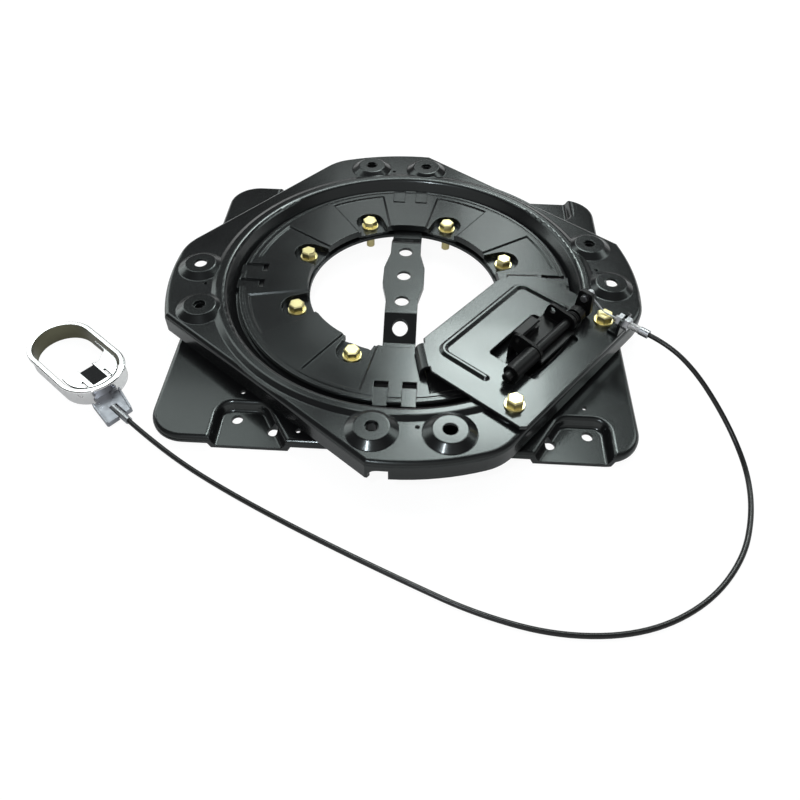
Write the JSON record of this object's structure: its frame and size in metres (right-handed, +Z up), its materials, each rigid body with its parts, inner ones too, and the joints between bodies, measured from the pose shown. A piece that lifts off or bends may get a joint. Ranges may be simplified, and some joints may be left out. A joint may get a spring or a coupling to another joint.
{
  "type": "swivel seat base",
  "caption": "Seat swivel: a skirted seat plate turns on a pressed floor plate under a bolted clamp ring, with a cable-released pawl lock and a pull handle.",
  "frame": {"origin": "on the swivel axis, at the underside of the floor plate's bolt pads", "axes": "+Z up along the swivel axis, +X along the floor plate's longer side, -Y towards the side seen in the picture"},
  "size_m": [0.591, 0.5298, 0.0665],
  "materials": {
    "black_paint": "semi-gloss black paint",
    "black_oxide": "matt black oxide",
    "yellow_zinc": "yellow zinc plate",
    "bright_zinc": "bright zinc plate",
    "chrome": "polished",
    "black_plastic": "fine grain",
    "black_sheath": "smooth sheath",
    "glide_plastic": "smooth"
  },
  "bodies": {
    "base": {"floor_plate": "black_paint", "clamp_ring": "black_paint", "ring_bolts": "yellow_zinc", "ring_nuts": "yellow_zinc", "lower_glide": "glide_plastic", "upper_glide": "glide_plastic", "centre_strap": "black_paint"},
    "turntable": {"seat_plate": "black_paint", "weld_nuts": "black_paint", "lock_plate": "black_paint", "lock_bolts": "yellow_zinc", "lock_nuts": "yellow_zinc", "latch_bearings": "black_oxide", "latch_spring": "black_oxide", "cable_bracket": "black_paint", "cable_adjuster": "bright_zinc", "adjuster_nuts": "bright_zinc", "cable_stop": "bright_zinc", "cable": "black_sheath", "cable_ferrule": "bright_zinc", "cable_fork": "bright_zinc", "handle_bezel": "chrome", "handle_pin": "chrome"},
    "latch": {"latch_pawl": "black_oxide", "latch_shaft": "black_oxide", "release_arm": "black_oxide"},
    "wire": {"inner_wire": "bright_zinc", "wire_nipple": "bright_zinc"},
    "paddle": {"handle_paddle": "chrome", "handle_pad": "black_plastic"},
    "handle_wire": {"handle_wire": "bright_zinc"}
  },
  "joints": [
    {"name": "swivel", "type": "hinge", "parent": "base", "child": "turntable", "pos_m": [0, 0, 0.0237], "axis": [0, 0, 1], "continuous": true},
    {"name": "paddle_lift", "type": "hinge", "parent": "turntable", "child": "paddle", "pos_m": [-0.2431, -0.12275, 0.01], "axis": [0.622, 0.783, 0], "range_deg": [0, 21], "stiffness_Nm_per_rad": 0.8, "springref_deg": -8.59},
    {"name": "latch_turn", "type": "hinge", "parent": "turntable", "child": "latch", "pos_m": [0.11746, -0.0933, 0.049], "axis": [0.622, 0.783, 0], "range_deg": [0, 16]},
    {"name": "wire_pull", "type": "slide", "parent": "turntable", "child": "wire", "axis": [0.783, -0.622, 0], "range_m": [0, 0.0033]},
    {"name": "handle_wire_pull", "type": "slide", "parent": "turntable", "child": "handle_wire", "axis": [-0.783, 0.622, 0], "range_m": [0, 0.0033]}
  ],
  "couplings": [
    {"joint": "latch_turn", "follows": "paddle_lift", "ratio": 0.76191},
    {"joint": "wire_pull", "follows": "paddle_lift", "m_per_rad": 0.0090027},
    {"joint": "handle_wire_pull", "follows": "paddle_lift", "m_per_rad": 0.0090027}
  ]
}
